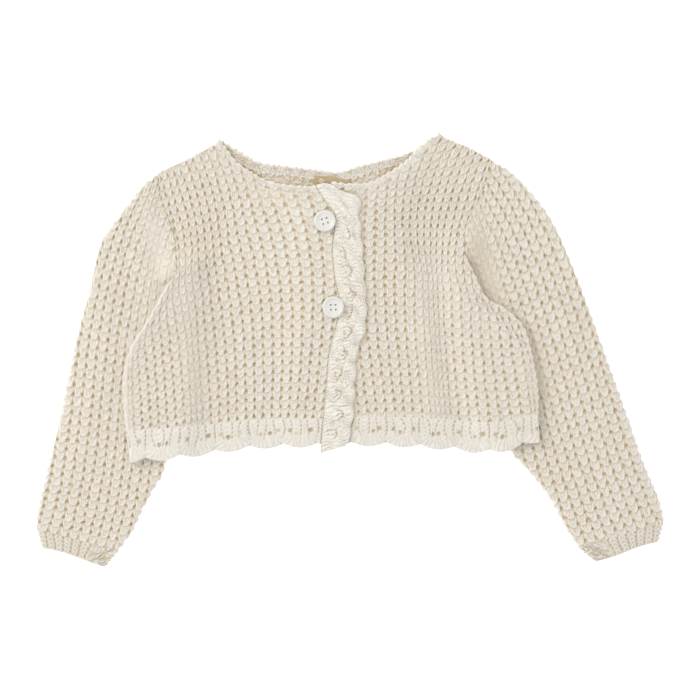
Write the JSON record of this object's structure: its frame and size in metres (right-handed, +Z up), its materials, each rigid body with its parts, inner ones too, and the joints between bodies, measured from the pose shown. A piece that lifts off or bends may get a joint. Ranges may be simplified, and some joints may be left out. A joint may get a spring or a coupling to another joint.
{
  "type": "child's knit shrug laid flat",
  "caption": "Cropped knit cardigan for a small child, laid flat, with long tucked sleeves, ribbed cuffs, scalloped lace edgings and buttons.",
  "frame": {"origin": "middle of the garment's outline, on the surface that it lies on", "axes": "+X towards the wearer's left sleeve, +Y towards the neck, +Z up from the surface"},
  "size_m": [0.3764, 0.2606, 0.0122],
  "materials": {
    "knit": "thick cream cotton waffle knit, matte",
    "rib": "cream cotton rib knit, matte",
    "lace": "cream cotton openwork knit, matte",
    "button": "white, softly polished",
    "tape": "golden tan woven cotton tape"
  },
  "bodies": {
    "root": {"back": "knit", "front_right": "knit", "front_left": "knit", "sleeve_right": "knit", "sleeve_left": "knit", "cuff_right": "rib", "cuff_left": "rib", "neckband_back": "rib", "neckband_front_right": "rib", "neckband_front_left": "rib", "front_band_right": "lace", "front_band_left": "lace", "hem_back": "lace", "hem_front_right": "lace", "hem_front_left": "lace", "button_upper": "button", "button_lower": "button", "neck_tape": "tape"}
  },
  "joints": []
}
